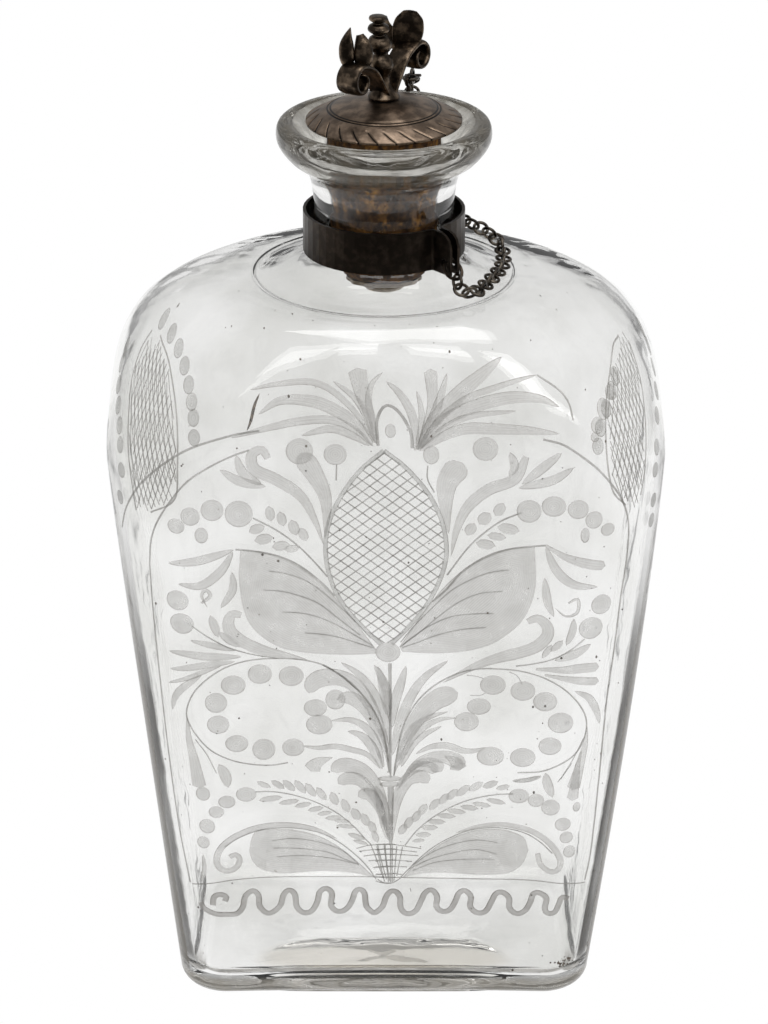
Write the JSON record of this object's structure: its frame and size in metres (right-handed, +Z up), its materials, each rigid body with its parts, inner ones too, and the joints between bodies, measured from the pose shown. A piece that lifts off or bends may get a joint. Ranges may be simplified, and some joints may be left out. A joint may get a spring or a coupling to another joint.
{
  "type": "decanter",
  "caption": "Tapered rectangular glass flask with wheel-cut flowers, cork stopper with a cast silver finial, and a chain to its neck band.",
  "frame": {"origin": "centre of the base, on the surface that it stands on", "axes": "+Z up along the neck, +X to the right of the engraved front, -Y towards the viewer of the front"},
  "size_m": [0.133, 0.0856, 0.245],
  "materials": {
    "clear_glass": "clear blown glass with a faint grey tint, wheel-cut matte ornament",
    "dark_silver": "tarnished dark brown, rubbed bright on edges",
    "cap_silver": "tarnished brown, brushed by wear",
    "chain_silver": "tarnished dark brown wire",
    "pale_silver": "dull pale metal",
    "rod_iron": "dull dark iron",
    "cork": "dark amber-brown cork, dull"
  },
  "bodies": {
    "flask": {"glass_bottle": "clear_glass", "neck_band": "dark_silver"},
    "stopper": {"cap_dome": "cap_silver", "cap_eye": "dark_silver", "stopper_rod": "rod_iron", "cork": "cork", "cork_washer": "pale_silver", "rod_rivet": "pale_silver", "finial": "dark_silver"},
    "clamp": {"clamp_ring": "dark_silver"},
    "chain_01": {"chain_link_01": "chain_silver", "chain_link_02": "chain_silver"},
    "chain_02": {"chain_link_03": "chain_silver", "chain_link_04": "chain_silver"},
    "chain_03": {"chain_link_05": "chain_silver", "chain_link_06": "chain_silver"},
    "chain_04": {"chain_link_07": "chain_silver", "chain_link_08": "chain_silver"},
    "chain_05": {"chain_link_09": "chain_silver", "chain_link_10": "chain_silver"},
    "chain_06": {"chain_link_11": "chain_silver", "chain_link_12": "chain_silver"},
    "chain_07": {"chain_link_13": "chain_silver", "chain_link_14": "chain_silver"},
    "chain_08": {"chain_link_15": "chain_silver", "chain_link_16": "chain_silver"},
    "chain_09": {"chain_link_17": "chain_silver", "chain_link_18": "chain_silver"},
    "chain_10": {"chain_link_19": "chain_silver", "chain_link_20": "chain_silver"},
    "chain_11": {"chain_link_21": "chain_silver", "chain_link_22": "chain_silver"},
    "chain_12": {"chain_link_23": "chain_silver", "chain_link_24": "chain_silver"},
    "chain_13": {"chain_link_25": "chain_silver", "chain_link_26": "chain_silver"},
    "chain_14": {"chain_link_27": "chain_silver", "chain_link_28": "chain_silver"},
    "chain_15": {"chain_link_29": "chain_silver", "chain_link_30": "chain_silver"},
    "chain_16": {"chain_link_31": "chain_silver", "chain_link_32": "chain_silver"},
    "chain_17": {"chain_link_33": "chain_silver", "chain_link_34": "chain_silver"},
    "chain_18": {"chain_link_35": "chain_silver", "chain_link_36": "chain_silver"},
    "chain_19": {"chain_link_37": "chain_silver", "chain_link_38": "chain_silver"},
    "chain_20": {"chain_link_39": "chain_silver", "chain_link_40": "chain_silver"},
    "chain_21": {"chain_link_41": "chain_silver", "chain_link_42": "chain_silver"},
    "chain_22": {"chain_link_43": "chain_silver", "chain_link_44": "chain_silver"}
  },
  "joints": [
    {"name": "stopper_lift", "type": "slide", "parent": "flask", "child": "stopper", "axis": [0, 0, 1], "range_m": [0, 0.043]},
    {"name": "clamp_swing", "type": "hinge", "parent": "flask", "child": "clamp", "pos_m": [0.01526, -0.01787, 0.1905], "axis": [-0.7604, -0.6494, 0], "range_deg": [0, 48.17]},
    {"name": "chain_turn_01", "type": "hinge", "parent": "clamp", "child": "chain_01", "pos_m": [0.01706, -0.01998, 0.18764], "axis": [0.2224, -0.9724, 0.0699], "range_deg": [0, 48.86]},
    {"name": "chain_turn_02", "type": "hinge", "parent": "chain_01", "child": "chain_02", "pos_m": [0.01888, -0.02216, 0.18445], "axis": [-0.4968, 0.633, -0.5937], "range_deg": [0, 48.55]},
    {"name": "chain_turn_03", "type": "hinge", "parent": "chain_02", "child": "chain_03", "pos_m": [0.02256, -0.01972, 0.18436], "axis": [0.6688, 0.7434, 0.0025], "range_deg": [0, 48.92]},
    {"name": "chain_turn_04", "type": "hinge", "parent": "chain_03", "child": "chain_04", "pos_m": [0.02427, -0.01534, 0.18436], "axis": [0.7705, 0.5247, 0.362], "range_deg": [0, 48.65]},
    {"name": "chain_turn_05", "type": "hinge", "parent": "chain_04", "child": "chain_05", "pos_m": [0.02592, -0.01093, 0.18436], "axis": [0.6509, 0.6881, 0.3207], "range_deg": [0, 20.03]},
    {"name": "chain_turn_06", "type": "hinge", "parent": "chain_05", "child": "chain_06", "pos_m": [0.02739, -0.00646, 0.18436], "axis": [0.2548, 0.9229, -0.2887], "range_deg": [0, 14.46]},
    {"name": "chain_turn_07", "type": "hinge", "parent": "chain_06", "child": "chain_07", "pos_m": [0.02833, -0.00186, 0.18435], "axis": [0.1936, 0.8242, -0.5322], "range_deg": [0, 16.16]},
    {"name": "chain_turn_08", "type": "hinge", "parent": "chain_07", "child": "chain_08", "pos_m": [0.0286, 0.00284, 0.18437], "axis": [-0.32, 0.8433, -0.4319], "range_deg": [0, 15.24]},
    {"name": "chain_turn_09", "type": "hinge", "parent": "chain_08", "child": "chain_09", "pos_m": [0.02832, 0.00751, 0.18474], "axis": [-0.6387, -0.1907, -0.7454], "range_deg": [0, 29.77]},
    {"name": "chain_turn_10", "type": "hinge", "parent": "chain_09", "child": "chain_10", "pos_m": [0.02633, 0.01111, 0.18668], "axis": [-0.2145, 0.0097, -0.9767], "range_deg": [0, 36.63]},
    {"name": "chain_turn_11", "type": "hinge", "parent": "chain_10", "child": "chain_11", "pos_m": [0.02229, 0.01209, 0.18887], "axis": [0.9346, 0.3551, -0.0209], "range_deg": [0, 22.11]},
    {"name": "chain_turn_12", "type": "hinge", "parent": "chain_13", "child": "chain_12", "pos_m": [0.01443, 0.01675, 0.1903], "axis": [0.4097, 0.8878, 0.2098], "range_deg": [0, 33.87]},
    {"name": "chain_turn_13", "type": "hinge", "parent": "chain_14", "child": "chain_13", "pos_m": [0.01145, 0.01887, 0.19303], "axis": [0.619, 0.6882, -0.3786], "range_deg": [0, 34.88]},
    {"name": "chain_turn_14", "type": "hinge", "parent": "chain_15", "child": "chain_14", "pos_m": [0.01001, 0.01974, 0.19742], "axis": [0.0504, 0.2924, -0.955], "range_deg": [0, 35.14]},
    {"name": "chain_turn_15", "type": "hinge", "parent": "chain_16", "child": "chain_15", "pos_m": [0.00864, 0.02081, 0.2018], "axis": [-0.3299, -0.5929, -0.7346], "range_deg": [0, 36.95]},
    {"name": "chain_turn_16", "type": "hinge", "parent": "chain_17", "child": "chain_16", "pos_m": [0.00771, 0.02292, 0.20586], "axis": [-0.8047, 0.4858, -0.3412], "range_deg": [0, 43.02]},
    {"name": "chain_turn_17", "type": "hinge", "parent": "chain_18", "child": "chain_17", "pos_m": [0.00736, 0.02558, 0.2097], "axis": [0.9691, 0.2214, 0.1085], "range_deg": [0, 33.6]},
    {"name": "chain_turn_18", "type": "hinge", "parent": "chain_19", "child": "chain_18", "pos_m": [0.00696, 0.02691, 0.21419], "axis": [0.8982, -0.1884, 0.3972], "range_deg": [0, 40.18]},
    {"name": "chain_turn_19", "type": "hinge", "parent": "chain_20", "child": "chain_19", "pos_m": [0.00668, 0.02675, 0.21883], "axis": [0.695, -0.2599, 0.6704], "range_deg": [0, 48.89]},
    {"name": "chain_turn_20", "type": "hinge", "parent": "chain_21", "child": "chain_20", "pos_m": [0.00672, 0.024, 0.22257], "axis": [0.2018, -0.8027, 0.5612], "range_deg": [0, 48.96]},
    {"name": "chain_turn_21", "type": "hinge", "parent": "chain_22", "child": "chain_21", "pos_m": [0.00693, 0.01968, 0.22433], "axis": [-0.5008, -0.3369, -0.7973], "range_deg": [0, 49.07]},
    {"name": "chain_turn_22", "type": "hinge", "parent": "stopper", "child": "chain_22", "pos_m": [0.00599, 0.0151, 0.22482], "axis": [-0.1117, 0.346, -0.9316], "range_deg": [0, 49.95]}
  ],
  "couplings": [
    {"joint": "clamp_swing", "follows": "stopper_lift", "rad_per_m": 19.35},
    {"joint": "chain_turn_01", "follows": "stopper_lift", "rad_per_m": 19.629},
    {"joint": "chain_turn_02", "follows": "stopper_lift", "rad_per_m": 19.503},
    {"joint": "chain_turn_03", "follows": "stopper_lift", "rad_per_m": 19.653},
    {"joint": "chain_turn_04", "follows": "stopper_lift", "rad_per_m": 19.543},
    {"joint": "chain_turn_05", "follows": "stopper_lift", "rad_per_m": 7.9267},
    {"joint": "chain_turn_06", "follows": "stopper_lift", "rad_per_m": 5.6679},
    {"joint": "chain_turn_07", "follows": "stopper_lift", "rad_per_m": 6.3566},
    {"joint": "chain_turn_08", "follows": "stopper_lift", "rad_per_m": 5.9825},
    {"joint": "chain_turn_09", "follows": "stopper_lift", "rad_per_m": 11.882},
    {"joint": "chain_turn_10", "follows": "stopper_lift", "rad_per_m": 14.666},
    {"joint": "chain_turn_11", "follows": "stopper_lift", "rad_per_m": 8.7695},
    {"joint": "chain_turn_12", "follows": "stopper_lift", "rad_per_m": 13.544},
    {"joint": "chain_turn_13", "follows": "stopper_lift", "rad_per_m": 13.955},
    {"joint": "chain_turn_14", "follows": "stopper_lift", "rad_per_m": 14.06},
    {"joint": "chain_turn_15", "follows": "stopper_lift", "rad_per_m": 14.795},
    {"joint": "chain_turn_16", "follows": "stopper_lift", "rad_per_m": 17.26},
    {"joint": "chain_turn_17", "follows": "stopper_lift", "rad_per_m": 13.434},
    {"joint": "chain_turn_18", "follows": "stopper_lift", "rad_per_m": 16.107},
    {"joint": "chain_turn_19", "follows": "stopper_lift", "rad_per_m": 19.641},
    {"joint": "chain_turn_20", "follows": "stopper_lift", "rad_per_m": 19.669},
    {"joint": "chain_turn_21", "follows": "stopper_lift", "rad_per_m": 19.712},
    {"joint": "chain_turn_22", "follows": "stopper_lift", "rad_per_m": 20.07}
  ]
}
